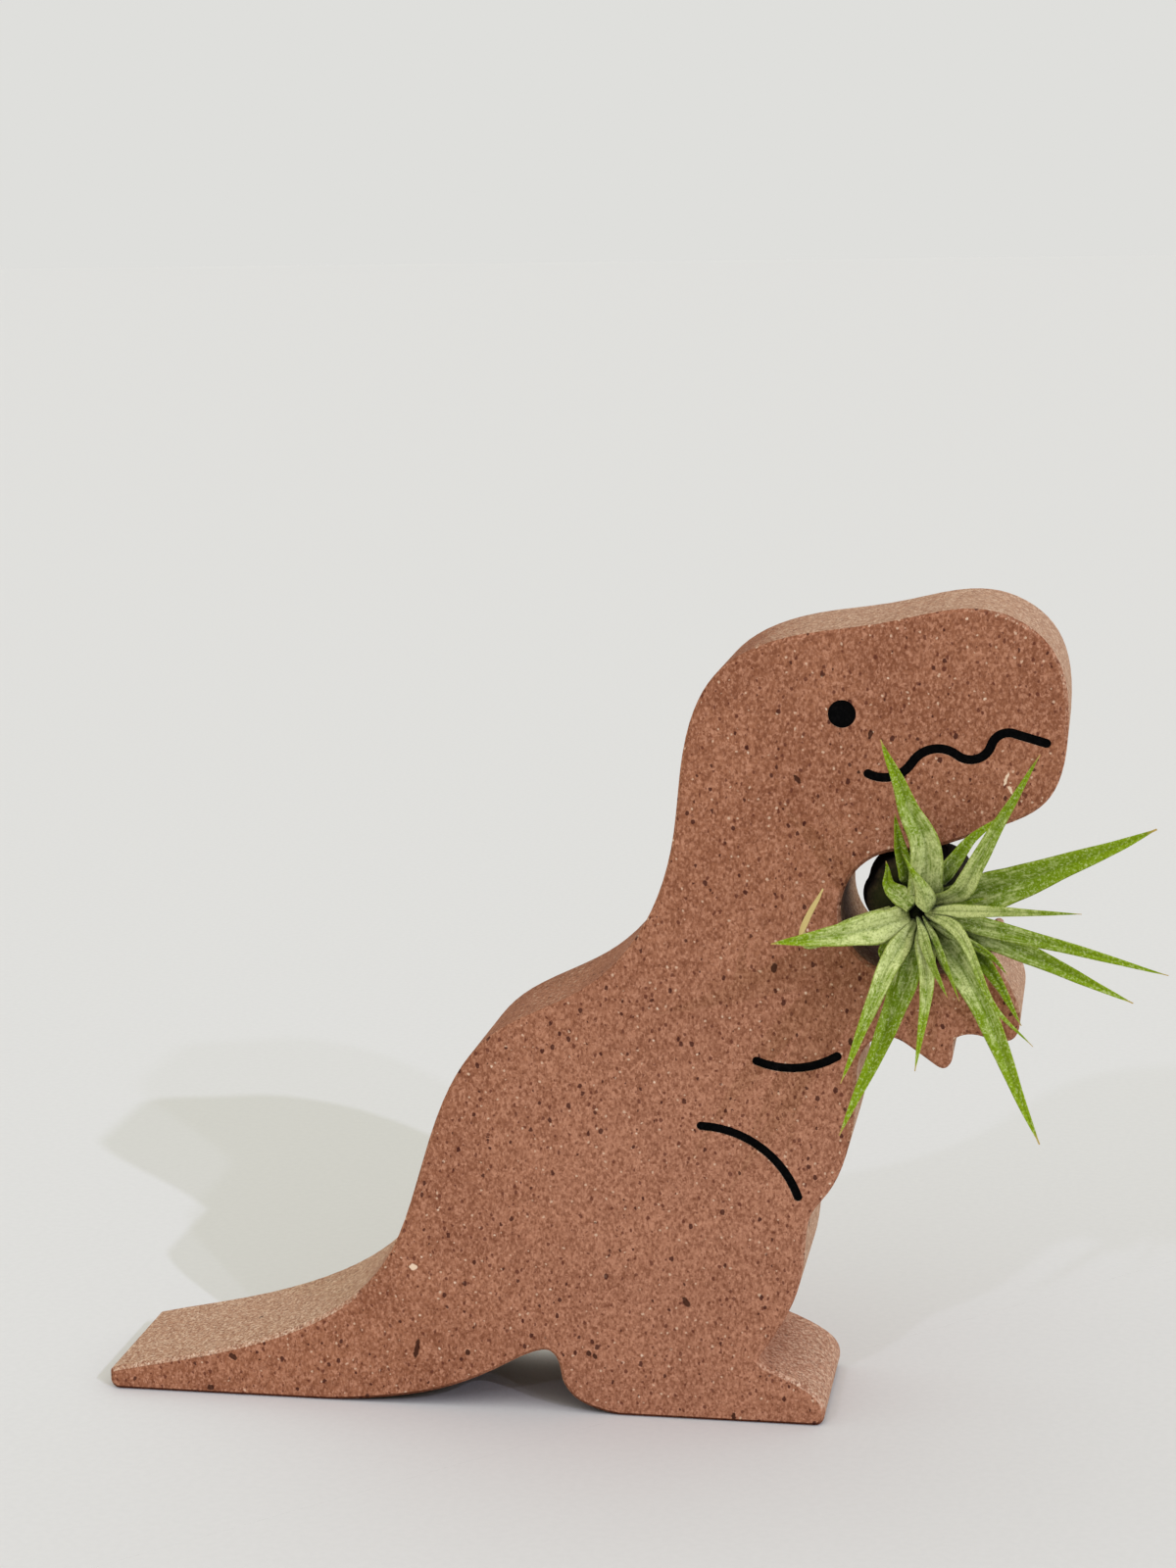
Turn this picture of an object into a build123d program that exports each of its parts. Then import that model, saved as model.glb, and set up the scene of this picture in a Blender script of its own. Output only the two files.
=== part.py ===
from build123d import *
import math
import os

# A desk figure that holds an air plant: a thick cast slab cut to the outline of a sitting dinosaur,
# with a small air plant wedged by its bulb in the slot between the chin and the arm.
# Millimetres. +X is from the tail towards the snout, -Y is the front face, +Z is up.
# The origin is on the ground, under the middle of the foot and of the slab's thickness.

# Slab
body_length = 140.0
body_height = 118.0
slab_thickness = 25.0
edge_bevel = 0.5
lip_round = 0.7
tail_tip_height = 3.1
tail_tip_round = 1.4
ankle_round = 1.2
sole_middle_share = 0.648  # of the length, from the tail tip to the middle of the foot

# Slot for the plant
slot_height = 17.4
slot_depth_share = 0.841  # of the length, to the centre of the slot's round end
slot_middle_share = 0.643  # of the height
slot_flat = 4.6  # level floor in front of the round end
hand_lip = 3.4  # how far the end of the arm stands above the slot's floor

# Sunk lines and their black inlays
line_width = 1.3
line_depth = 1.4
eye_diameter = 3.9
inlay_below_face = 0.25
inlay_gap = 0.04

# Air plant
bulb_clearance = 0.3
bulb_step = 3.0  # from the centre of the slot's round end to the plant's axis
bulb_depth = 9.5  # from the front face to the bulb's widest place
plant_tilt = 6.0  # degrees, how far the plant looks up
leaf_gap = 0.15

# Outline of the slab, as shares of the length and the height from the tail tip at the ground
tail_top_shares = [(0.084, 0.048), (0.194, 0.087), (0.262, 0.131), (0.301, 0.178)]
back_shares = [(0.328, 0.244), (0.353, 0.338), (0.416, 0.472), (0.521, 0.541), (0.557, 0.579)]
neck_shares = [(0.589, 0.638), (0.611, 0.725), (0.623, 0.838)]
head_shares = [(0.655, 0.923), (0.733, 0.969), (0.821, 0.985), (0.929, 0.999), (0.981, 0.960)]
snout_shares = [(1.000, 0.860), (0.979, 0.777), (0.922, 0.742)]
hand_corner_share = 0.932
hand_shares = [(0.9440, 0.562), (0.9570, 0.512), (0.9500, 0.4930), (0.9290, 0.4925), (0.9060, 0.497)]
claw_shares = [(0.8925, 0.4900), (0.8905, 0.4660), (0.8830, 0.4550), (0.8700, 0.4620)]
underarm_shares = [(0.8500, 0.4790), (0.8330, 0.4900), (0.8130, 0.4870), (0.7980, 0.4640)]
belly_shares = [(0.795, 0.425), (0.784, 0.339), (0.766, 0.294), (0.749, 0.266)]
shin_shares = [(0.744, 0.231), (0.735, 0.167), (0.717, 0.122), (0.692, 0.077)]
toe_shares = [(0.713, 0.0675), (0.742, 0.0510), (0.7600, 0.0330), (0.7640, 0.0160)]
toe_end_share = 0.752
heel_start_share = 0.552
heel_shares = [(0.519, 0.0095), (0.500, 0.0240), (0.4910, 0.0420), (0.4870, 0.0640), (0.4770, 0.0785)]
arch_shares = [(0.463, 0.0770), (0.427, 0.0560), (0.387, 0.0330), (0.327, 0.0120)]
tail_sole_share = 0.235

# Face and limbs, as shares of the length and the height: each line starts with an arc through three
# places, and the mouth goes on with arcs that end at one place each
eye_shares = (0.780, 0.878)
arm_line_shares = [(0.695, 0.457), (0.735, 0.450), (0.776, 0.466)]
thigh_line_shares = [(0.638, 0.374), (0.701, 0.348), (0.7365, 0.290)]
mouth_corner_shares = [(0.806, 0.808), (0.828, 0.8045), (0.849, 0.822)]
mouth_wave_shares = [(0.893, 0.8315), (0.926, 0.844), (0.950, 0.857)]
mouth_end_share = (0.979, 0.847)

# Leaves. Each row gives the leaf's width as a share of leaf_width, the clock angle of its root in
# degrees, counted from +X towards +Z, and then the places that its middle line runs through: clock
# angle, distance from the plant's axis as a share of plant_reach, and distance in front of the
# bulb's widest place as a share of plant_rise.
outer_root_angle = 60.0
outer_leaf_shares = [
    (1.15, 18, [(20, 0.45, 0.42), (22, 0.96, 0.55)]),
    (0.50, 64, [(57, 0.32, 0.31), (51, 0.50, 0.33)]),
    (0.60, 112, [(109, 0.25, 0.36), (105, 0.40, 0.42)]),
    (0.50, 172, [(193, 0.28, 0.34), (196, 0.46, 0.37), (190, 0.48, 0.41), (166, 0.39, 0.46)]),
    (0.30, 212, [(225, 0.23, 0.31), (238, 0.27, 0.33)]),
    (0.80, 248, [(256, 0.37, 0.39), (251, 0.91, 0.50)]),
    (0.90, 297, [(308, 0.36, 0.50), (300, 0.95, 0.68)]),
    (0.60, 323, [(322, 0.34, 0.41), (314, 0.57, 0.50)]),
    (0.75, 349, [(339, 0.49, 0.34), (338, 0.88, 0.39)]),
]
middle_root_angle = 38.0
middle_leaf_shares = [
    (0.28, 12, [(17, 0.21, 0.47), (18, 0.27, 0.55)]),
    (0.52, 52, [(32, 0.23, 0.48), (38, 0.36, 0.60), (55, 0.80, 0.82)]),
    (0.95, 80, [(90, 0.31, 0.45), (102, 0.70, 0.57)]),
    (0.95, 200, [(195, 0.30, 0.50), (191, 0.57, 0.57)]),
    (0.66, 240, [(241, 0.26, 0.52), (246, 0.68, 0.66)]),
    (0.58, 271, [(279, 0.25, 0.58), (271, 0.55, 0.73)]),
    (0.35, 310, [(331, 0.31, 0.45), (329, 0.40, 0.55)]),
    (0.55, 342, [(350, 0.45, 0.47), (349, 0.96, 0.59)]),
]
inner_root_angle = 19.0
inner_leaf_shares = [
    (0.40, 13, [(11, 0.27, 0.64), (9, 0.63, 1.00)]),
    (0.62, 70, [(75, 0.06, 0.46), (94, 0.14, 0.55), (103, 0.26, 0.60)]),
    (0.55, 146, [(142, 0.14, 0.39), (126, 0.23, 0.42)]),
    (0.34, 262, [(292, 0.15, 0.62), (302, 0.27, 0.95)]),
    (0.26, 300, [(306, 0.18, 0.61), (304, 0.32, 0.82)]),
    (0.38, 334, [(342, 0.18, 0.58), (317, 0.42, 0.78), (318, 0.61, 0.90)]),
]
# Sizes of the leaves as shares of the bulb's radius
plant_reach_share = 4.17  # of the longest leaf's tip, from the plant's axis
plant_rise_share = 5.24  # of the steepest leaf's tip, from the bulb's widest place
leaf_width_share = 0.56
leaf_thickness_share = 0.107
# Along a leaf: where its cross sections stand, and how wide and how thick it is there
station_shares = [0.0, 0.20, 0.45, 0.75, 1.0]
width_shares = [0.62, 1.0, 0.76, 0.38, 0.06]
thickness_shares = [1.0, 0.85, 0.65, 0.45, 0.25]
margin_rise_share = 0.46  # height of its raised margins over its keel, as a share of half its width
# Bulb, as shares of its radius: distance in front of its widest place, and radius there
bulb_shares = [(-1.07, 0.31), (-0.80, 0.66), (-0.40, 0.93), (0.0, 1.0), (0.45, 0.95)]
dome_centre_share = 1.02  # in front of the widest place
dome_share = 0.88
dome_angles = [90.0, 70.0, 50.0, 30.0, 12.0, 0.0]  # degrees from the axis, along the dome

os.makedirs("parts", exist_ok=True)

slot_radius = slot_height / 2


def place(share):
    """A point of the outline, from its shares of the length and the height."""
    return ((share[0] - sole_middle_share) * body_length, share[1] * body_height)


def places(shares):
    return [place(share) for share in shares]


slot_x, slot_z = place((slot_depth_share, slot_middle_share))
slot_floor_z = slot_z - slot_radius
hand_corner_x = place((hand_corner_share, 0))[0]
tail_x = place((0, 0))[0]
# The plant's own plane: its centre is the bulb's widest place, in the middle of the slot's height,
# and it faces forward and a little up
bulb_radius = slot_radius - bulb_clearance
dome_radius = dome_share * bulb_radius
dome_forward = dome_centre_share * bulb_radius
plant_reach = plant_reach_share * bulb_radius
plant_rise = plant_rise_share * bulb_radius
leaf_width = leaf_width_share * bulb_radius
leaf_thickness = leaf_thickness_share * bulb_radius
tilt = math.radians(plant_tilt)
plant_plane = Plane(
    origin=(slot_x + bulb_step, bulb_depth - slab_thickness / 2, slot_z),
    x_dir=(1, 0, 0),
    z_dir=(0, -math.cos(tilt), math.sin(tilt)),
)
bulb_profile_plane = Plane(
    origin=plant_plane.origin, x_dir=plant_plane.x_dir, z_dir=-plant_plane.y_dir
)

# Middles of the sunk lines
with BuildLine() as arm_line:
    ThreePointArc(*places(arm_line_shares))
with BuildLine() as thigh_line:
    ThreePointArc(*places(thigh_line_shares))
with BuildLine() as mouth_line:
    stroke = ThreePointArc(*places(mouth_corner_shares))
    for spot in places(mouth_wave_shares):
        stroke = TangentArc(stroke @ 1, spot, tangent=stroke % 1)
    Line(stroke @ 1, place(mouth_end_share))
sunk_lines = {
    "mouth_inlay": mouth_line.wire(),
    "arm_line_inlay": arm_line.wire(),
    "thigh_line_inlay": thigh_line.wire(),
}

# Slab: the outline is drawn on the upright XZ plane, from the tail tip over the back and the head,
# round the slot, down the front to the toe, and back along the ground
with BuildPart() as cast_body:
    with BuildSketch(Plane.XZ.offset(-slab_thickness / 2)) as outline_sketch:
        with BuildLine():
            over_the_back = Spline(
                (tail_x, tail_tip_height),
                *places(tail_top_shares + back_shares + neck_shares + head_shares + snout_shares),
                (slot_x, slot_z + slot_radius),
                tangents=[(1, 0.25), (-1, 0)],
                tangent_scalars=[1, 1],
            )
            slot_end = CenterArc((slot_x, slot_z), slot_radius, 90, 180)
            slot_floor = Line(slot_end @ 1, (slot_x + slot_flat, slot_floor_z))
            hand_top = TangentArc(
                slot_floor @ 1, (hand_corner_x, slot_floor_z + hand_lip), tangent=(1, 0)
            )
            down_the_front = Spline(
                hand_top @ 1,
                *places(hand_shares + claw_shares + underarm_shares + belly_shares + shin_shares),
            )
            toe_end = place((toe_end_share, 0))
            Spline(down_the_front @ 1, *places(toe_shares), toe_end, tangents=[(1, -0.4), (-1, 0)])
            foot_sole = Line(toe_end, place((heel_start_share, 0)))
            arch = Spline(
                foot_sole @ 1,
                *places(heel_shares + arch_shares),
                place((tail_sole_share, 0)),
                tangents=[(-1, 0), (-1, 0)],
                tangent_scalars=[0.5, 0.5],
            )
            Polyline(arch @ 1, (tail_x, 0), over_the_back @ 0)
        make_face()
        for corner, radius in (
            ((tail_x, 0), tail_tip_round),
            (over_the_back @ 0, lip_round),
            (hand_top @ 1, lip_round),
            (down_the_front @ 1, ankle_round),
        ):
            spot = Vector(*corner)
            fillet(outline_sketch.vertices().sort_by_distance(spot)[0], radius)
    extrude(amount=slab_thickness)
    chamfer(cast_body.faces().filter_by(Axis.Y).edges(), edge_bevel)
    # Sunk eye and lines in the front face
    with BuildSketch(Plane.XZ.offset(slab_thickness / 2)):
        with Locations(place(eye_shares)):
            Circle(eye_diameter / 2)
        for path in sunk_lines.values():
            SlotArc(path, line_width)
    extrude(amount=-line_depth, mode=Mode.SUBTRACT)
cast_body.part.label = "cast_body"
export_step(cast_body.part, "parts/cast_body.step")

# Black inlays, each lying on the bottom of its recess and a little below the face
inlay_plane = Plane.XZ.offset(slab_thickness / 2 - line_depth)
inlay_height = line_depth - inlay_below_face
with BuildPart() as eye_inlay:
    with BuildSketch(inlay_plane):
        with Locations(place(eye_shares)):
            Circle(eye_diameter / 2 - inlay_gap)
    extrude(amount=inlay_height)
eye_inlay.part.label = "eye_inlay"
export_step(eye_inlay.part, "parts/eye_inlay.step")
for name, path in sunk_lines.items():
    with BuildPart() as inlay:
        with BuildSketch(inlay_plane):
            SlotArc(path, line_width - 2 * inlay_gap)
        extrude(amount=inlay_height)
    inlay.part.label = name
    export_step(inlay.part, f"parts/{name}.step")

# Bulb: widest where it is wedged in the slot, and its front is a dome that the leaves grow from
with BuildPart() as plant_bulb:
    with BuildSketch(bulb_profile_plane):
        with BuildLine():
            half_profile = [(radius * bulb_radius, forward * bulb_radius) for forward, radius in bulb_shares]
            for angle in dome_angles:
                around = math.radians(angle)
                half_profile.append(
                    (dome_radius * math.sin(around), dome_forward + dome_radius * math.cos(around))
                )
            back_end = (0, half_profile[0][1])
            Polyline(back_end, *half_profile, close=True)
        make_face()
    revolve(axis=Axis(plant_plane.origin, plant_plane.z_dir))
plant_bulb.part.label = "plant_bulb"
export_step(plant_bulb.part, "parts/plant_bulb.step")


def plant_spot(clock, reach, rise):
    """A point around the plant's axis, from a clock angle and its distances from and along it."""
    angle = math.radians(clock)
    return plant_plane.from_local_coords(
        Vector(reach * math.cos(angle), reach * math.sin(angle), rise)
    )


def leaf_section(half_width, thickness):
    """Corners of a leaf's V-shaped cross section, with its hollow side up."""
    margin_rise = margin_rise_share * half_width
    return [(0, 0), (half_width, margin_rise), (0, thickness), (-half_width, margin_rise)]


def make_leaf(name, width, root_angle, root_clock, spots):
    """One leaf, growing square out of the dome and then along its places to the tip."""
    outward = math.radians(root_angle)
    root_reach = (dome_radius + leaf_gap) * math.sin(outward)
    root_rise = dome_forward + (dome_radius + leaf_gap) * math.cos(outward)
    root = plant_spot(root_clock, root_reach, root_rise)
    dome_centre = plant_spot(0, 0, dome_forward)
    way = [root] + [plant_spot(c, r * plant_reach, f * plant_rise) for c, r, f in spots]
    middle_line = Edge.make_spline(way, tangents=[root - dome_centre, way[-1] - way[-2]])
    tip_clock = spots[-1][0]
    across = plant_spot(tip_clock + 90, 1, 0) - plant_spot(0, 0, 0)
    with BuildPart() as leaf:
        for station, width_share, thickness_share in zip(
            station_shares, width_shares, thickness_shares
        ):
            along = middle_line % station
            side = across - along * across.dot(along)
            half_width = width * width_share / 2
            with BuildSketch(Plane(middle_line @ station, x_dir=side, z_dir=along)):
                with BuildLine():
                    Polyline(*leaf_section(half_width, leaf_thickness * thickness_share), close=True)
                make_face()
        loft()
    leaf.part.label = name
    export_step(leaf.part, f"parts/{name}.step")


for ring, root_angle, rows in (
    ("outer", outer_root_angle, outer_leaf_shares),
    ("middle", middle_root_angle, middle_leaf_shares),
    ("inner", inner_root_angle, inner_leaf_shares),
):
    for number, (width_share, root_clock, spots) in enumerate(rows, start=1):
        make_leaf(
            f"{ring}_leaf_{number}", leaf_width * width_share, root_angle, root_clock, spots
        )
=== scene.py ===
import math

import bpy
from mathutils import Matrix, Vector, noise
from mathutils.geometry import interpolate_bezier


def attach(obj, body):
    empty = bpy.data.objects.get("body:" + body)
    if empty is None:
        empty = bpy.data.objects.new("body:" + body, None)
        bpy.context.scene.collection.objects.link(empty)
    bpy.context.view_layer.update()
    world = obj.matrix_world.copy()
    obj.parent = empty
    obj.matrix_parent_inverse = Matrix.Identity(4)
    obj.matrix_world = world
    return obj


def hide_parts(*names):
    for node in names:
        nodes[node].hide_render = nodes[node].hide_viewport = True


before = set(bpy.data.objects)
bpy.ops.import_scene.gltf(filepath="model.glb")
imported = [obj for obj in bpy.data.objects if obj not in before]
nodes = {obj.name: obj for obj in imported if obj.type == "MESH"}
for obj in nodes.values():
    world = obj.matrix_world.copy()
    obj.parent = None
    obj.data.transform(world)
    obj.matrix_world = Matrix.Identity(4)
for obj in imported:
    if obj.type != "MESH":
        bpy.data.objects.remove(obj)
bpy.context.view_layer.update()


# Places around the plant's axis, laid out as in the part's source

plant_centre = Vector((0.03002, -0.0030, 0.07587))
plant_tilt = math.radians(6)
bulb_radius = 0.0084
dome_share = 0.88
dome_centre_share = 1.02  # in front of the bulb's widest place
plant_reach_share = 4.17  # of the longest leaf's tip, from the plant's axis
plant_rise_share = 5.24  # of the steepest leaf's tip, from the bulb's widest place
leaf_width_share = 0.56
leaf_thickness_share = 0.107

dome_radius = dome_share * bulb_radius
dome_forward = dome_centre_share * bulb_radius
plant_reach = plant_reach_share * bulb_radius
plant_rise = plant_rise_share * bulb_radius
leaf_width = leaf_width_share * bulb_radius
leaf_thickness = leaf_thickness_share * bulb_radius

plant_forward = Vector((0, -math.cos(plant_tilt), math.sin(plant_tilt)))
plant_right = Vector((1, 0, 0))
plant_up = plant_forward.cross(plant_right)


def plant_spot(clock, reach, forward):
    """A point from its clock angle, counted from +X towards +Z, and its distances from the plant's
    axis and in front of the bulb's widest place."""
    angle = math.radians(clock)
    outward = plant_right * math.cos(angle) + plant_up * math.sin(angle)
    return plant_centre + outward * reach + plant_forward * forward


# Mesh helpers


def new_piece(name, points, faces, material, body, replaced=()):
    """A mesh piece that rides on a body, is shaded smooth and stands for CAD nodes."""
    mesh = bpy.data.meshes.new(name)
    mesh.from_pydata(points, [], faces)
    mesh.update()
    mesh.materials.append(material)
    mesh.shade_smooth()
    piece = bpy.data.objects.new(name, mesh)
    bpy.context.scene.collection.objects.link(piece)
    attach(piece, body)
    if replaced:
        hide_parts(*replaced)
    return piece


def store(piece, name, values):
    """One number per vertex, for the material to read."""
    attribute = piece.data.attributes.new(name, "FLOAT", "POINT")
    attribute.data.foreach_set("value", values)


def ring_faces(rings, around):
    """Faces between rings of points that close on themselves."""
    faces = []
    for ring in range(rings - 1):
        low = ring * around
        high = low + around
        for k in range(around):
            following = (k + 1) % around
            faces.append((low + k, low + following, high + following, high + k))
    return faces


def smooth_line(points, first_way, last_way, count):
    """Evenly spaced points along a smooth line through the given points."""
    ways = [first_way.normalized()]
    for before, after in zip(points, points[2:]):
        ways.append((after - before).normalized())
    ways.append(last_way.normalized())
    curve_steps = 40
    dense = [points[0]]
    for start, end, way, next_way in zip(points, points[1:], ways, ways[1:]):
        handle = (end - start).length / 3
        dense += interpolate_bezier(
            start, start + way * handle, end - next_way * handle, end, curve_steps
        )[1:]
    lengths = [0.0]
    for a, b in zip(dense, dense[1:]):
        lengths.append(lengths[-1] + (b - a).length)
    line = []
    span = 0
    for k in range(count):
        goal = lengths[-1] * k / (count - 1)
        while span < len(lengths) - 2 and lengths[span + 1] < goal:
            span += 1
        share = (goal - lengths[span]) / (lengths[span + 1] - lengths[span])
        line.append(dense[span].lerp(dense[span + 1], share))
    return line


# Material helpers


class Tree:
    """Builds one material's nodes with few words."""

    def __init__(self, name):
        self.material = bpy.data.materials.new(name)
        self.material.use_nodes = True
        self.nodes = self.material.node_tree.nodes
        self.links = self.material.node_tree.links
        self.shader = self.nodes["Principled BSDF"]
        coordinates = self.add("ShaderNodeTexCoord")
        self.place = coordinates.outputs["Object"]
        self.normal = coordinates.outputs["Normal"]

    def add(self, kind, inputs=(), **settings):
        node = self.nodes.new(kind)
        for key, value in settings.items():
            setattr(node, key, value)
        for key, value in dict(inputs).items():
            self.put(node.inputs[key], value)
        return node

    def put(self, socket, value):
        if isinstance(value, bpy.types.NodeSocket):
            self.links.new(value, socket)
        else:
            socket.default_value = value

    def math(self, operation, a, b=0.0, clamp=False):
        node = self.add("ShaderNodeMath", {0: a, 1: b}, operation=operation, use_clamp=clamp)
        return node.outputs[0]

    def vector(self, operation, a, b=(0.0, 0.0, 0.0), output="Vector"):
        node = self.add("ShaderNodeVectorMath", {0: a, 1: b}, operation=operation)
        return node.outputs[output]

    def ramp(self, value, low, high):
        """0 at low, 1 at high, smooth between."""
        inputs = {"Value": value, "From Min": low, "From Max": high}
        node = self.add("ShaderNodeMapRange", inputs, interpolation_type="SMOOTHSTEP")
        return node.outputs["Result"]

    def swing(self, value, strength):
        """A noise of 0 to 1, turned into a number on both sides of zero."""
        return self.math("MULTIPLY", self.math("SUBTRACT", value, 0.5), strength)

    def mix(self, share, a, b):
        """Colour a, turning to colour b as share goes to 1."""
        node = self.add("ShaderNodeMix", {"Factor": share}, data_type="RGBA")
        colours = {socket.name: socket for socket in node.inputs if socket.type == "RGBA"}
        self.put(colours["A"], a)
        self.put(colours["B"], b)
        return [socket for socket in node.outputs if socket.type == "RGBA"][0]

    def tint(self, base, layers):
        """The base under layers of colour. Each gives where it lies, how strong it is, its tone."""
        for cover, strength, tone in layers:
            base = self.mix(self.math("MULTIPLY", cover, strength), base, tone)
        return base

    def noise(self, where, scale, detail=2.0, roughness=0.5):
        inputs = {"Vector": where, "Scale": scale, "Detail": detail, "Roughness": roughness}
        return self.add("ShaderNodeTexNoise", inputs).outputs["Fac"]

    def stretched(self, where, stretch, turn=(0, 0, 0)):
        inputs = {"Vector": where, "Scale": stretch, "Rotation": turn}
        return self.add("ShaderNodeMapping", inputs).outputs["Vector"]

    def ragged(self, where, scale, reach):
        """The same places, each moved a little at random, so that grains get ragged outlines."""
        shift = self.add("ShaderNodeTexNoise", {"Vector": where, "Scale": scale}).outputs["Color"]
        noise_middle = (0.5, 0.5, 0.5)
        centred = self.vector("SUBTRACT", shift, noise_middle)
        sized = self.add("ShaderNodeVectorMath", {0: centred, "Scale": reach}, operation="SCALE")
        return self.vector("ADD", where, sized.outputs["Vector"])

    def cells(self, where, spacing):
        """Cells of this size: the distance to the nearest middle, and random numbers per cell."""
        cells = self.add("ShaderNodeTexVoronoi", {"Vector": where, "Scale": 1 / spacing})
        numbers = self.add("ShaderNodeSeparateColor", {"Color": cells.outputs["Color"]})
        return cells.outputs["Distance"], numbers.outputs

    def cell_tone(self, where, spacing):
        """A random number for each grain of sand."""
        numbers = self.cells(where, spacing)[1]
        return numbers["Blue"]

    def grains(self, where, spacing, smallest, largest, share):
        """1 inside round grains, whose radius is between smallest and largest. They lie in this
        share of the cells."""
        distance, numbers = self.cells(where, spacing)
        radius = self.add(
            "ShaderNodeMath",
            {0: numbers["Green"], 1: (largest - smallest) / spacing, 2: smallest / spacing},
            operation="MULTIPLY_ADD",
        )
        inside = self.math("LESS_THAN", distance, radius.outputs[0])
        chosen = self.math("LESS_THAN", numbers["Red"], share)
        return self.math("MULTIPLY", inside, chosen)

    def stored(self, name):
        """A number that the mesh holds for each vertex."""
        return self.add("ShaderNodeAttribute", attribute_name=name).outputs["Fac"]

    def shaded(self, base, distance, low, high, deepest):
        """The base, multiplied by the colour deepest where other surfaces stand close by: painted
        shade in hollows, gaps and corners.
        """
        openness = self.add("ShaderNodeAmbientOcclusion", {"Distance": distance}, samples=8)
        lit = self.ramp(openness.outputs["AO"], low, high)
        white = (1.0, 1.0, 1.0, 1.0)
        return self.vector("MULTIPLY", base, self.mix(lit, deepest, white))

    def bump(self, height, distance, strength):
        inputs = {"Height": height, "Distance": distance, "Strength": strength}
        node = self.add("ShaderNodeBump", inputs)
        self.links.new(node.outputs["Normal"], self.shader.inputs["Normal"])

    def surface(self, base, roughness, specular):
        self.put(self.shader.inputs["Base Color"], base)
        self.put(self.shader.inputs["Roughness"], roughness)
        self.put(self.shader.inputs["Specular IOR Level"], specular)


def colour(red, green, blue):
    """A colour for a node, from the 0 to 255 numbers of a screen."""

    def linear(part):
        part = part / 255
        return part / 12.92 if part <= 0.04045 else ((part + 0.055) / 1.055) ** 2.4

    return (linear(red), linear(green), linear(blue), 1.0)


# Cast stone: reddish brown, with sand, fine dark and cream grains, and small pores

# Chips and grains that stand out on the front face: x, z, half width, half height, lean
dark_chips = [
    (-0.0436, 0.0087, 0.00035, 0.0015, -12),
    (-0.0037, 0.0178, 0.0004, 0.0008, 30),
    (0.0123, 0.0944, 0.0003, 0.0007, 35),
    (0.0091, 0.0675, 0.0004, 0.0007, -15),
    (0.0224, 0.1008, 0.0003, 0.0006, -20),
    (0.0198, 0.0572, 0.0003, 0.0006, 10),
    (-0.0180, 0.0093, 0.0003, 0.0004, 0),
    (-0.0171, 0.0089, 0.0003, 0.0004, 40),
    (-0.0715, 0.0060, 0.0007, 0.0004, -35),
    (-0.0752, 0.0010, 0.0005, 0.0004, 0),
    (-0.0360, 0.0085, 0.0003, 0.0004, 0),
]
pale_chips = [
    (-0.0438, 0.0212, 0.0006, 0.0005, 20),
    (0.0410, 0.0949, 0.0002, 0.0010, -20),
    (0.0416, 0.0934, 0.0002, 0.0006, 30),
]
front_face_y = -0.0125
chip_depth = 0.0006
chip_edge_shares = (1.15, 0.85)  # a chip starts and is whole at these shares of its half sizes

# Round grains: size of the cells that they lie in, smallest and largest radius, share of the cells
cream_dust = (0.0013, 0.00012, 0.00028, 0.50)
cream_grains = (0.0027, 0.00012, 0.00030, 0.30)
dark_dust = (0.00095, 0.00010, 0.00026, 0.60)
dark_grains = (0.0015, 0.00012, 0.00034, 0.55)
pores = (0.0056, 0.0002, 0.0006, 0.28)
coarse_sand = 0.0007
fine_sand = 0.00034

# Where the tone changes, from none to full: distances from the middle of the painted highlight on
# the rosy thigh, heights on the tail and the foot, and places along the foot
thigh_highlight_middle = (0.0, front_face_y, 0.030)
thigh_highlight_reach = (0.060, 0.010)
tail_heights = (0.040, 0.024)
foot_heights = (0.022, 0.014)
foot_starts = (-0.006, 0.000)
toe_to_instep = (0.0155, 0.0040)
# How squarely a face looks up or to the snout, from not pale to fully pale; these faces face the
# light, so their paleness is partly a painted highlight
pale_upward = (0.66, 0.88)
pale_forward = (0.6, 0.9)
pale_unevenness = 0.9  # how far the grit moves the edges of the pale places
tail_extra = 0.40  # how much more readily the tail turns pale
instep_loss = 0.75  # how much of its paleness the instep loses
dark_grain_loss = 0.7  # how much of the dark grains the pale faces lose
sand_relief = 0.35
grit_relief = 0.3


def chip_mask(tree, where, chips):
    """1 inside any of these flattened ovals, which lie just under the front face."""
    found = 0.0
    for x, z, half_width, half_height, lean in chips:
        moved = tree.vector("SUBTRACT", where, (x, front_face_y, z))
        turned = tree.add(
            "ShaderNodeVectorRotate",
            {"Vector": moved, "Angle": math.radians(lean)},
            rotation_type="Y_AXIS",
        )
        half_sizes = (half_width, chip_depth, half_height)
        sized = tree.vector("DIVIDE", turned.outputs["Vector"], half_sizes)
        reach = tree.vector("LENGTH", sized, output="Value")
        found = tree.math("MAXIMUM", found, tree.ramp(reach, *chip_edge_shares))
    return found


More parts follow.
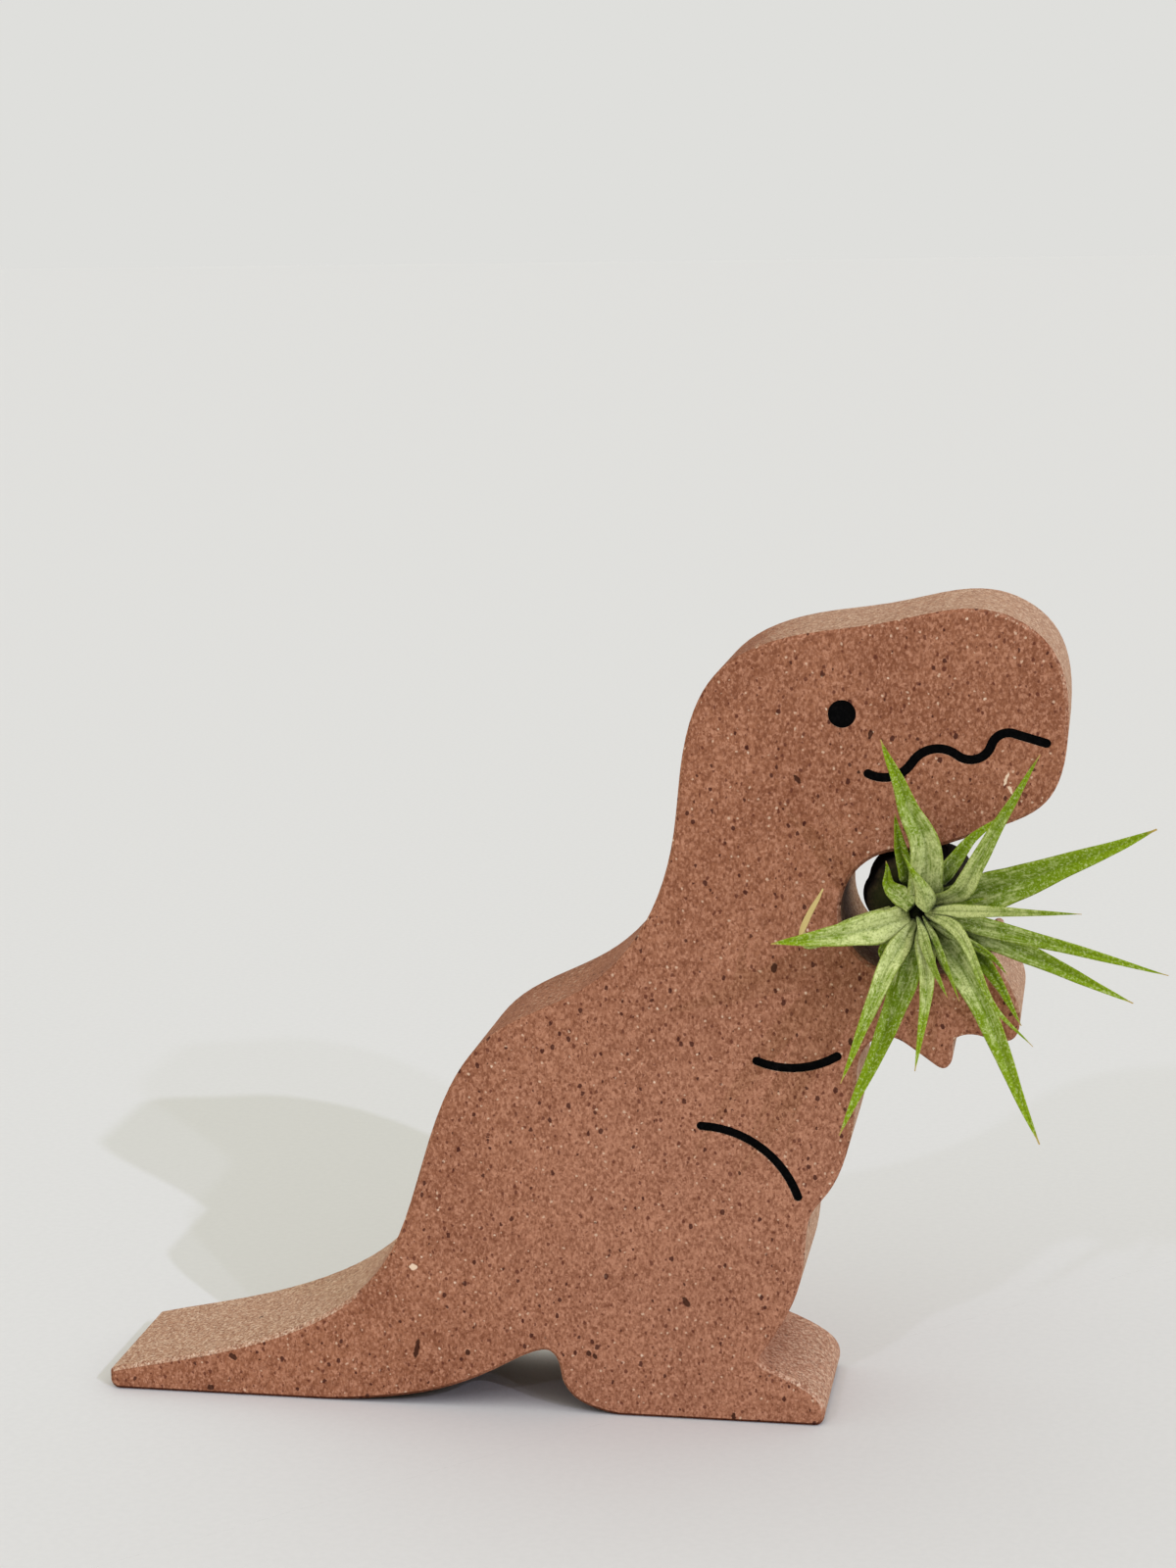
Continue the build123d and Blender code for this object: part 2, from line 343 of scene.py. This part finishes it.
def pale_and_lit_faces(tree, grit):
    """Where the stone is pale and sandy, and where the foot is. Pale are the faces that look up or
    to the snout, and the whole top of the tail, but the foot only towards its toe. Their paleness
    is partly the sandier skin of the cast and partly a painted highlight and reflection of the
    light."""
    spot = tree.add("ShaderNodeSeparateXYZ", {"Vector": tree.place})
    # Both point towards the side that the light falls from: up and a little ahead, and ahead to the
    # snout
    up_and_ahead = (0.35, 0.0, 0.937)
    ahead = (0.98, 0.0, 0.2)
    upward = tree.vector("DOT_PRODUCT", tree.normal, up_and_ahead, output="Value")
    upward = tree.math("ADD", upward, tree.swing(grit, pale_unevenness))
    on_tail = tree.math("MULTIPLY", tree.ramp(spot.outputs["Z"], *tail_heights), tail_extra)
    upward = tree.math("ADD", upward, on_tail)
    forward = tree.vector("DOT_PRODUCT", tree.normal, ahead, output="Value")
    pale = tree.math("MAXIMUM", tree.ramp(upward, *pale_upward), tree.ramp(forward, *pale_forward))
    low_down = tree.ramp(spot.outputs["Z"], *foot_heights)
    on_foot = tree.math("MULTIPLY", low_down, tree.ramp(spot.outputs["X"], *foot_starts))
    instep = tree.math("MULTIPLY", on_foot, tree.ramp(spot.outputs["X"], *toe_to_instep))
    kept = tree.math("SUBTRACT", 1.0, tree.math("MULTIPLY", instep, instep_loss))
    return tree.math("MULTIPLY", pale, kept), on_foot


def make_cast_stone():
    tree = Tree("cast_stone")
    ragged = tree.ragged(tree.place, scale=1700.0, reach=0.0005)
    patches = tree.noise(tree.place, scale=70.0, detail=3.0)
    grit = tree.noise(tree.place, scale=1300.0, detail=4.0, roughness=0.7)
    upright = tree.stretched(tree.place, (1.0, 1.0, 0.6))
    sand = tree.noise(upright, scale=3000.0, detail=2.0, roughness=0.7)
    coarse = tree.cell_tone(ragged, coarse_sand)
    fine = tree.cell_tone(ragged, fine_sand)

    # Ground: patchy, rosier at the thigh and the belly under a painted highlight, and paler on the
    # faces that look up or to the snout, partly a painted highlight too
    base = tree.mix(tree.ramp(patches, 0.35, 0.65), colour(144, 92, 65), colour(163, 109, 79))
    from_thigh = tree.vector("DISTANCE", tree.place, thigh_highlight_middle, output="Value")
    thigh_highlight = tree.ramp(from_thigh, *thigh_highlight_reach)
    pale, on_foot = pale_and_lit_faces(tree, grit)
    pale_tone = tree.mix(on_foot, colour(194, 154, 124), colour(196, 150, 122))
    base = tree.tint(base, [(thigh_highlight, 0.50, colour(180, 128, 101)), (pale, 0.80, pale_tone)])

    # Sand in two tones, both lighter on the pale faces
    darker = tree.mix(pale, colour(118, 70, 48), colour(128, 84, 62))
    paler = tree.mix(pale, colour(198, 144, 114), colour(238, 214, 186))
    sand_layers = [
        (tree.ramp(coarse, 0.6, 1.0), 0.22, darker),
        (tree.ramp(coarse, 0.3, 0.0), 0.22, paler),
        (tree.ramp(fine, 0.6, 1.0), 0.65, darker),
        (tree.ramp(fine, 0.3, 0.0), 0.60, paler),
        (tree.ramp(grit, 0.45, 0.72), 0.30, darker),
        (tree.ramp(sand, 0.50, 0.66), 0.60, darker),
        (tree.ramp(sand, 0.50, 0.34), 0.45, paler),
    ]
    base = tree.tint(base, sand_layers)

    # Grains, pores and chips. The pale faces show fewer of the dark grains.
    slanted = tree.stretched(ragged, (1.0, 1.0, 0.75), turn=(0.3, 0.5, 0.2))
    pore_place = tree.stretched(ragged, (1.0, 1.0, 0.6), turn=(0.9, 0.2, 0.6))
    few_on_pale = tree.math("SUBTRACT", 1.0, tree.math("MULTIPLY", pale, dark_grain_loss))
    dark_dust_seen = tree.math("MULTIPLY", tree.grains(slanted, *dark_dust), few_on_pale)
    dark_seen = tree.math("MULTIPLY", tree.grains(slanted, *dark_grains), few_on_pale)
    dark_chip = chip_mask(tree, ragged, dark_chips)
    pits = tree.math("MAXIMUM", tree.grains(pore_place, *pores), dark_chip)
    grain_layers = [
        (tree.grains(ragged, *cream_dust), 0.65, colour(222, 190, 160)),
        (tree.grains(ragged, *cream_grains), 0.80, colour(232, 204, 176)),
        (dark_dust_seen, 0.75, colour(92, 46, 34)),
        (dark_seen, 0.85, colour(66, 30, 24)),
        (pits, 0.90, colour(58, 30, 20)),
        (chip_mask(tree, ragged, pale_chips), 0.90, colour(238, 212, 180)),
    ]
    base = tree.tint(base, grain_layers)

    # Painted shade: the stone turns darker and browner in hollows, in the slot and near the plant
    painted_crevice_shade = (0.26, 0.13, 0.07, 1.0)
    base = tree.shaded(base, distance=0.010, low=0.05, high=0.55, deepest=painted_crevice_shade)
    tree.surface(base, roughness=0.8, specular=0.06)
    sand_height = tree.math("MULTIPLY", sand, sand_relief)
    relief = tree.math("ADD", sand_height, tree.math("MULTIPLY", grit, grit_relief))
    tree.bump(tree.math("SUBTRACT", relief, pits), distance=0.00020, strength=0.8)
    return tree.material


def make_black_inlay():
    tree = Tree("black_inlay")
    sand = tree.noise(tree.place, scale=2400.0, detail=3.0, roughness=0.6)
    base = tree.mix(tree.ramp(sand, 0.4, 0.75), colour(3, 3, 3), colour(11, 10, 10))
    tree.surface(base, roughness=0.8, specular=0.04)
    tree.bump(sand, distance=0.00008, strength=0.6)
    return tree.material


# Leaf: green under a silvery fuzz that lies in streaks and wears off towards the tip

# What a leaf's mesh holds for its material: share of the length, place across from -1 to 1,
# a number of its own, how silvery it is, and where it is dry
leaf_numbers = ("along", "across", "seed", "silver", "dry")
fuzz_wear = 0.70
streak_strength = 1.3
blotch_strength = 1.0
fuzz_relief = 0.5


def make_leaf_material():
    tree = Tree("air_plant_leaf")
    along, across, seed, silver, dry = [tree.stored(name) for name in leaf_numbers]
    leaf_place = tree.add("ShaderNodeCombineXYZ", {"X": across, "Y": along, "Z": seed})
    streak_place = tree.stretched(leaf_place.outputs["Vector"], (7.0, 13.0, 9.0))
    streaks = tree.noise(streak_place, scale=1.0, detail=3.0, roughness=0.6)
    blotches = tree.noise(tree.place, scale=620.0, detail=3.0, roughness=0.6)
    fuzz = tree.noise(tree.place, scale=2800.0, detail=3.0, roughness=0.75)

    worn = tree.math("MULTIPLY", tree.ramp(along, 0.2, 1.0), fuzz_wear)
    streaky = tree.swing(streaks, streak_strength)
    uneven = tree.math("ADD", streaky, tree.swing(blotches, blotch_strength))
    fuzzy = tree.math("ADD", tree.math("SUBTRACT", silver, worn), uneven)
    from_keel = tree.math("ABSOLUTE", across)
    # Painted shade: a darker green along the keel, so that the channel reads as folded
    keel = tree.ramp(from_keel, 0.22, 0.0)
    margins = tree.ramp(from_keel, 0.78, 0.96)
    # Painted shade: dark green specks among the hairs of the fuzz
    fuzz_shade_specks = tree.ramp(fuzz, 0.50, 0.66)
    hairs = tree.ramp(fuzz, 0.48, 0.34)
    tip = tree.math("ADD", tree.ramp(along, 0.94, 1.0), dry, clamp=True)
    layers = [
        (tree.ramp(fuzzy, 0.18, 0.95), 0.90, colour(219, 228, 152)),
        (keel, 0.40, colour(86, 108, 10)),
        (margins, 0.60, colour(150, 170, 36)),
        (fuzz_shade_specks, 0.55, colour(84, 104, 4)),
        (hairs, 0.38, colour(236, 242, 186)),
        (tip, 1.0, colour(200, 170, 96)),
        (dry, 1.0, colour(214, 192, 124)),
    ]
    base = tree.tint(tree.mix(along, colour(94, 122, 0), colour(138, 166, 0)), layers)
    # Painted shade in the gaps between the leaves and around their roots
    painted_crevice_shade = (0.10, 0.12, 0.02, 1.0)
    base = tree.shaded(base, distance=0.009, low=0.12, high=0.70, deepest=painted_crevice_shade)
    tree.surface(base, roughness=0.7, specular=0.15)
    tree.put(tree.shader.inputs["Sheen Weight"], 0.05)
    tree.put(tree.shader.inputs["Sheen Roughness"], 0.5)
    ridges = tree.math("ADD", streaks, tree.math("MULTIPLY", fuzz, fuzz_relief))
    tree.bump(ridges, distance=0.00010, strength=0.6)
    return tree.material


def make_bulb_material():
    """Dark dry sheaths with fibres that run along the bulb, greener where the leaves start, where
    the dark olive is partly painted shade of the gaps between the leaf roots. Hollows get painted
    shade too.
    """
    tree = Tree("air_plant_bulb")
    fibre_place = tree.stretched(tree.place, (1.0, 0.16, 1.0))
    fibres = tree.noise(fibre_place, scale=1500.0, detail=3.0, roughness=0.6)
    blotches = tree.noise(tree.place, scale=260.0, detail=3.0)
    base = tree.mix(tree.ramp(fibres, 0.35, 0.7), colour(26, 20, 14), colour(66, 54, 36))
    layers = [
        (tree.ramp(blotches, 0.5, 0.7), 0.5, colour(18, 14, 10)),
        # Greener where the leaves start, and dark there as painted shade of the gaps between the
        # leaf roots
        (tree.ramp(tree.stored("forward"), 1.2, 1.85), 1.0, colour(50, 56, 20)),
    ]
    base = tree.tint(base, layers)
    # Painted shade, deep in the slot and between the bulb and the leaves
    painted_crevice_shade = (0.03, 0.026, 0.02, 1.0)
    base = tree.shaded(base, distance=0.020, low=0.25, high=0.95, deepest=painted_crevice_shade)
    tree.surface(base, roughness=0.85, specular=0.1)
    tree.bump(fibres, distance=0.00025, strength=0.8)
    return tree.material


cast_stone = make_cast_stone()
black_inlay = make_black_inlay()
leaf_material = make_leaf_material()
bulb_material = make_bulb_material()

for name, node in nodes.items():
    if name == "cast_body":
        node.material_slots[0].material = cast_stone
    elif name.endswith("_inlay"):
        node.material_slots[0].material = black_inlay


# Leaves

# Each row gives the leaf's width as a share of leaf_width, how much wider it clasps at its root,
# how silvery it is from 0 to 1, the clock angle of its root, and the places of its middle line:
# clock angle, share of plant_reach, share of plant_rise.
outer_leaf_shares = [
    (1.15, 0.3, 0.45, 18, [(20, 0.45, 0.42), (22, 0.96, 0.55)]),
    (0.50, 0.2, 0.45, 64, [(57, 0.32, 0.31), (51, 0.50, 0.33)]),
    (0.60, 0.1, 0.30, 112, [(109, 0.25, 0.36), (105, 0.40, 0.42)]),
    (
        0.50, 0.1, 0.75, 172,
        [(193, 0.28, 0.34), (196, 0.46, 0.37), (190, 0.48, 0.41), (166, 0.39, 0.46)],
    ),
    (0.30, 0.0, 0.50, 212, [(225, 0.23, 0.31), (238, 0.27, 0.33)]),
    (0.80, 0.1, 0.40, 248, [(256, 0.37, 0.39), (251, 0.91, 0.50)]),
    (0.90, 0.1, 0.60, 297, [(308, 0.36, 0.50), (300, 0.95, 0.68)]),
    (0.60, 0.0, 0.35, 323, [(322, 0.34, 0.41), (314, 0.57, 0.50)]),
    (0.75, 0.2, 0.55, 349, [(339, 0.49, 0.34), (338, 0.88, 0.39)]),
]
middle_leaf_shares = [
    (0.28, 0.0, 0.50, 12, [(17, 0.21, 0.47), (18, 0.27, 0.55)]),
    (0.62, 0.2, 0.70, 52, [(34, 0.20, 0.46), (46, 0.34, 0.58), (55, 0.80, 0.82)]),
    (0.95, 0.8, 0.70, 80, [(87, 0.27, 0.41), (97, 0.44, 0.47), (102, 0.70, 0.57)]),
    (0.95, 0.5, 0.85, 200, [(197, 0.24, 0.41), (191, 0.57, 0.57)]),
    (0.66, 0.1, 0.75, 240, [(241, 0.26, 0.52), (246, 0.68, 0.66)]),
    (0.58, 0.1, 0.80, 271, [(279, 0.25, 0.58), (271, 0.55, 0.73)]),
    (0.35, 0.0, 0.60, 310, [(331, 0.31, 0.45), (329, 0.40, 0.55)]),
    (0.55, 0.2, 0.50, 342, [(350, 0.45, 0.47), (349, 0.96, 0.59)]),
]
inner_leaf_shares = [
    (0.40, 0.1, 0.90, 13, [(11, 0.27, 0.64), (9, 0.63, 1.00)]),
    (
        0.78, 0.0, 0.75, 70,
        [(77, 0.08, 0.47), (89, 0.13, 0.52), (98, 0.19, 0.56), (103, 0.26, 0.60)],
    ),
    (0.60, 0.5, 0.50, 146, [(142, 0.16, 0.34), (126, 0.24, 0.36)]),
    (0.34, 0.0, 0.60, 262, [(292, 0.15, 0.62), (302, 0.27, 0.95)]),
    (0.26, 0.0, 0.55, 300, [(306, 0.18, 0.61), (304, 0.32, 0.82)]),
    (0.38, 0.1, 0.75, 334, [(342, 0.18, 0.58), (317, 0.42, 0.78), (318, 0.61, 0.90)]),
]
# Rings of leaves: angle of the roots from the plant's axis, their distance from the dome's centre
# as a share of its radius, and the leaves
rings = {
    "outer": (60.0, 0.75, outer_leaf_shares),
    "middle": (38.0, 0.95, middle_leaf_shares),
    "inner": (19.0, 1.12, inner_leaf_shares),
}
root_angle_share = 0.45  # brings the roots closer to the axis than in the part, under each other
seed_step = 1.37

# The youngest leaf stands in the middle, starts with a rounded fold and has its margins bent back
heart_leaf = "inner_leaf_2"
heart_place = (40, 0.03 * plant_reach, 0.43 * plant_rise)
heart_fold_share = 0.16  # of its length
heart_start_share = 0.005
heart_taper_power = 1.2
heart_margin_share = -0.30
# One old leaf has dried and curled up from its outer part on, and stays wide for longer
dry_leaf = "outer_leaf_4"
dry_from_share = 0.62
dry_taper_power = 0.6

leaf_steps = 44
leaf_columns = 12
# Shares of a leaf's length: over which it tapers to its tip, widens from its root, and clasps
taper_share = 0.72
root_share = 0.22
clasp_share = 0.3
clasp_power = 2
taper_power = 0.85
least_width_share = 0.02
root_width_share = 0.42
# Shares of the half width: how high the margins stand over the keel at the root, how much more
# they rise there and from there to the tip, and how far the leaf ripples and sways
root_margin_share = 0.50
margin_gain_share = 0.25
margin_gain_length_share = 0.2
tip_margin_share = 0.20
ripple_share = 0.06
sway_share = 0.10
# How quickly the two change along the leaf, and the layers of the noise that they come from
ripple_pace = 9
ripple_layer = 0
sway_pace = 4
sway_layer = 5
# The blade is a rounded V, thinner towards its margins and its tip, and where it is narrower than
# a share of its full width
channel_power = 1.2
margin_thinning_power = 2.5
tip_thinning_share = 0.75
narrow_share = 0.25


def leaf_taper(name, share, clasp):
    """A leaf's width at a share of its length, as a share of its full width."""
    if name == heart_leaf:
        rounding = 1 - min(1.0, (share + heart_start_share) / heart_fold_share)
        return math.sqrt(1 - rounding**2) * max(least_width_share, 1 - share) ** heart_taper_power
    taper = min(1.0, max(least_width_share, 1 - share) / taper_share) ** taper_power
    taper *= root_width_share + (1 - root_width_share) * min(1.0, share / root_share)
    if name == dry_leaf:
        taper = taper**dry_taper_power
    return taper + clasp * max(0.0, 1 - share / clasp_share) ** clasp_power


def margin_rise(name, share):
    """How high a leaf's margins stand over its keel, as a share of its half width."""
    if name == heart_leaf:
        return heart_margin_share
    gain = margin_gain_share * min(1.0, share / margin_gain_length_share)
    return root_margin_share + gain + tip_margin_share * share


def make_leaf(name, ring_angle, nesting, width_share, clasp, silver, root_clock, spots, seed):
    """A channelled leaf: wide and clasping at its root, tapering to a fine tip."""
    inward = math.radians(ring_angle * root_angle_share)
    depth = dome_radius * nesting
    root_forward = dome_forward + depth * math.cos(inward)
    start = plant_spot(root_clock, depth * math.sin(inward), root_forward)
    if name == heart_leaf:
        start = plant_spot(*heart_place)
    way = [start] + [plant_spot(c, r * plant_reach, f * plant_rise) for c, r, f in spots]
    line = smooth_line(way, way[1] - start, way[-1] - way[-2], leaf_steps)
    across = plant_spot(spots[-1][0] + 90, 1, 0) - plant_spot(0, 0, 0)
    half = leaf_width * width_share / 2
    last = leaf_steps - 1
    around = 2 * leaf_columns
    points = []
    along_values = []
    across_values = []
    for k, spot in enumerate(line):
        share = k / last
        forward = (line[min(k + 1, last)] - line[max(k - 1, 0)]).normalized()
        side = (across - forward * across.dot(forward)).normalized()
        up = forward.cross(side)
        ripple = noise.noise(Vector((share * ripple_pace, seed, ripple_layer)))
        sway = sway_share * half * noise.noise(Vector((share * sway_pace, seed, sway_layer)))
        half_here = half * leaf_taper(name, share, clasp) * (1 + ripple_share * ripple)
        narrowness = min(1.0, half_here / (narrow_share * half))
        thick = leaf_thickness * (1 - tip_thinning_share * share) * narrowness
        rise = margin_rise(name, share) * half_here
        # The ring runs along the lower face from one margin to the other and back along the upper
        for j in range(around):
            upper = j >= leaf_columns
            position = around - j if upper else j
            u = -1 + 2 * position / leaf_columns
            z = rise * abs(u) ** channel_power
            if upper:
                z += thick * (1 - abs(u) ** margin_thinning_power)
            points.append(spot + side * (u * half_here + sway) + up * z)
            along_values.append(share)
            across_values.append(u)
    faces = ring_faces(leaf_steps, around)
    faces.append(tuple(reversed(range(around))))
    faces.append(tuple(range(last * around, leaf_steps * around)))
    piece = new_piece(
        name + "_blade", points, faces, leaf_material, "air_plant", [name]
    )
    is_dry = [float(name == dry_leaf and share > dry_from_share) for share in along_values]
    seeds = [seed] * len(points)
    silvers = [silver] * len(points)
    held = (along_values, across_values, seeds, silvers, is_dry)
    for number, values in zip(leaf_numbers, held):
        store(piece, number, values)


seed = 0.0
for ring, (ring_angle, nesting, rows) in rings.items():
    for number, row in enumerate(rows, start=1):
        seed += seed_step
        make_leaf(f"{ring}_leaf_{number}", ring_angle, nesting, *row, seed)


# Bulb: a swelling of folded leaf bases, ridged lengthwise

# Distance in front of its widest place, and radius there, as shares of its radius
bulb_shares = [(-1.07, 0.10), (-1.05, 0.31), (-0.80, 0.66), (-0.40, 0.93), (0.0, 1.0), (0.45, 0.95)]
dome_angles = [90, 75, 60, 45, 30, 15, 2]
bulb_around = 96
bulb_rings = 60
ridge_count = 9
ridge_twist = 25  # how far the ridges' wave turns per radius forward
ridge_share = 0.07
ridge_power = 0.6
swell_share = 0.13  # how far it swells to one side
swell_clock = 148
swell_power = 3
lump_share = 0.04
lump_pace = 1.8


def make_bulb():
    profile = list(bulb_shares)
    for dome_angle in dome_angles:
        turn = math.radians(dome_angle)
        forward = dome_centre_share + dome_share * math.cos(turn)
        profile.append((forward, dome_share * math.sin(turn)))
    knots = [Vector((forward, radius, 0)) for forward, radius in profile]
    line = smooth_line(knots, knots[1] - knots[0], knots[-1] - knots[-2], bulb_rings)
    points = []
    forward_values = []
    for knot in line:
        forward, radius = knot.x, knot.y
        for k in range(bulb_around):
            clock = 360 * k / bulb_around
            angle = math.radians(clock)
            wave = abs(math.sin(math.radians(clock * ridge_count / 2 + forward * ridge_twist)))
            ridge = 1 - ridge_share + ridge_share * wave**ridge_power
            towards_swell = max(0.0, math.cos(math.radians(clock - swell_clock)))
            swell = swell_share * towards_swell**swell_power
            around_place = Vector((math.cos(angle), math.sin(angle), forward))
            lumps = lump_share * noise.noise(around_place * lump_pace)
            reach = radius * (ridge + swell + lumps) * bulb_radius
            points.append(plant_spot(clock, reach, forward * bulb_radius))
            forward_values.append(forward)
    faces = ring_faces(bulb_rings, bulb_around)
    faces.append(tuple(range(bulb_around)))
    faces.append(tuple(reversed(range(len(points) - bulb_around, len(points)))))
    piece = new_piece(
        "bulb_sheath", points, faces, bulb_material, "air_plant", ["plant_bulb"]
    )
    store(piece, "forward", forward_values)


make_bulb()


# Floor, light and camera

floor_reach = 20.0
far_floor = colour(223, 223, 220)  # as the far floor renders, so that no horizon shows
world_light = 0.84
world_tint = (1.0, 0.98, 0.90, 1.0)
lamp_tint = (0.72, 0.73, 1.0)
# Distant lamps: name, azimuth, elevation, strength, and spread for the softness of the shadow
lamps = [
    ("key_light", 48, 31, 0.86, 0.7),
    ("second_light", 41, 27, 0.32, 1.0),
    ("left_light", -17, 32, 0.30, 1.5),
]
camera_place = Vector((0.05548, -0.42467, 0.16869))
camera_yaw = math.radians(9.978)
camera_pitch = math.radians(10.226)
camera_roll = math.radians(0.746)
camera_lens = 69.75  # millimetres


def make_floor():
    tree = Tree("pale_floor")
    grain = tree.noise(tree.place, scale=900.0, detail=2.0)
    base = tree.mix(tree.ramp(grain, 0.3, 0.7), colour(222, 223, 220), colour(224, 225, 222))
    # Painted shadow on the floor close to the part and under its arch
    painted_contact_shadow = (0.30, 0.27, 0.25, 1.0)
    base = tree.shaded(base, distance=0.02, low=0.0, high=0.5, deepest=painted_contact_shadow)
    tree.surface(base, roughness=0.9, specular=0.1)
    mesh = bpy.data.meshes.new("floor")
    ways = ((-1, -1), (1, -1), (1, 1), (-1, 1))
    corners = [(x * floor_reach, y * floor_reach, 0) for x, y in ways]
    mesh.from_pydata(corners, [], [(0, 1, 2, 3)])
    mesh.materials.append(tree.material)
    floor = bpy.data.objects.new("floor", mesh)
    bpy.context.scene.collection.objects.link(floor)


def make_world():
    """Even light from all round. Rays that show the background see a plain pale colour instead."""
    world = bpy.data.worlds.new("studio")
    bpy.context.scene.world = world
    world.use_nodes = True
    tree = world.node_tree
    lighting = tree.nodes["Background"]
    lighting.inputs["Color"].default_value = world_tint
    lighting.inputs["Strength"].default_value = world_light
    backdrop = tree.nodes.new("ShaderNodeBackground")
    backdrop.inputs["Color"].default_value = far_floor
    rays = tree.nodes.new("ShaderNodeLightPath")
    shows = rays.outputs["Is Camera Ray"]
    for kind in ("Is Glossy Ray", "Is Transmission Ray"):
        either = tree.nodes.new("ShaderNodeMath")
        either.operation = "MAXIMUM"
        tree.links.new(shows, either.inputs[0])
        tree.links.new(rays.outputs[kind], either.inputs[1])
        shows = either.outputs[0]
    choose = tree.nodes.new("ShaderNodeMixShader")
    tree.links.new(shows, choose.inputs["Fac"])
    tree.links.new(lighting.outputs[0], choose.inputs[1])
    tree.links.new(backdrop.outputs[0], choose.inputs[2])
    tree.links.new(choose.outputs[0], tree.nodes["World Output"].inputs["Surface"])


def make_sun(name, azimuth, elevation, strength, spread):
    """A distant lamp. Azimuth is counted from the front, -Y, towards +X."""
    lamp = bpy.data.lights.new(name, "SUN")
    lamp.energy = strength
    lamp.color = lamp_tint
    lamp.angle = math.radians(spread)
    sun = bpy.data.objects.new(name, lamp)
    turn = math.radians(azimuth)
    rise = math.radians(elevation)
    towards = Vector(
        (math.sin(turn) * math.cos(rise), -math.cos(turn) * math.cos(rise), math.sin(rise))
    )
    sun.rotation_mode = "QUATERNION"
    sun.rotation_quaternion = towards.to_track_quat("Z", "Y")
    bpy.context.scene.collection.objects.link(sun)


def make_camera():
    """The photo's camera, turned left by its yaw, down by its pitch and then by its roll."""
    level_reach = math.cos(camera_pitch)
    forward = Vector(
        (
            -math.sin(camera_yaw) * level_reach,
            math.cos(camera_yaw) * level_reach,
            -math.sin(camera_pitch),
        )
    )
    level = Vector((math.cos(camera_yaw), math.sin(camera_yaw), 0))
    down = forward.cross(level)
    right = level * math.cos(camera_roll) + down * math.sin(camera_roll)
    up = level * math.sin(camera_roll) - down * math.cos(camera_roll)
    data = bpy.data.cameras.new("camera")
    data.lens = camera_lens
    camera = bpy.data.objects.new("camera", data)
    turned = Matrix((right, up, -forward)).transposed().to_4x4()
    camera.matrix_world = Matrix.Translation(camera_place) @ turned
    bpy.context.scene.collection.objects.link(camera)
    bpy.context.scene.camera = camera


make_floor()
make_world()
for lamp_values in lamps:
    make_sun(*lamp_values)
make_camera()
bpy.context.scene.view_settings.view_transform = "Standard"
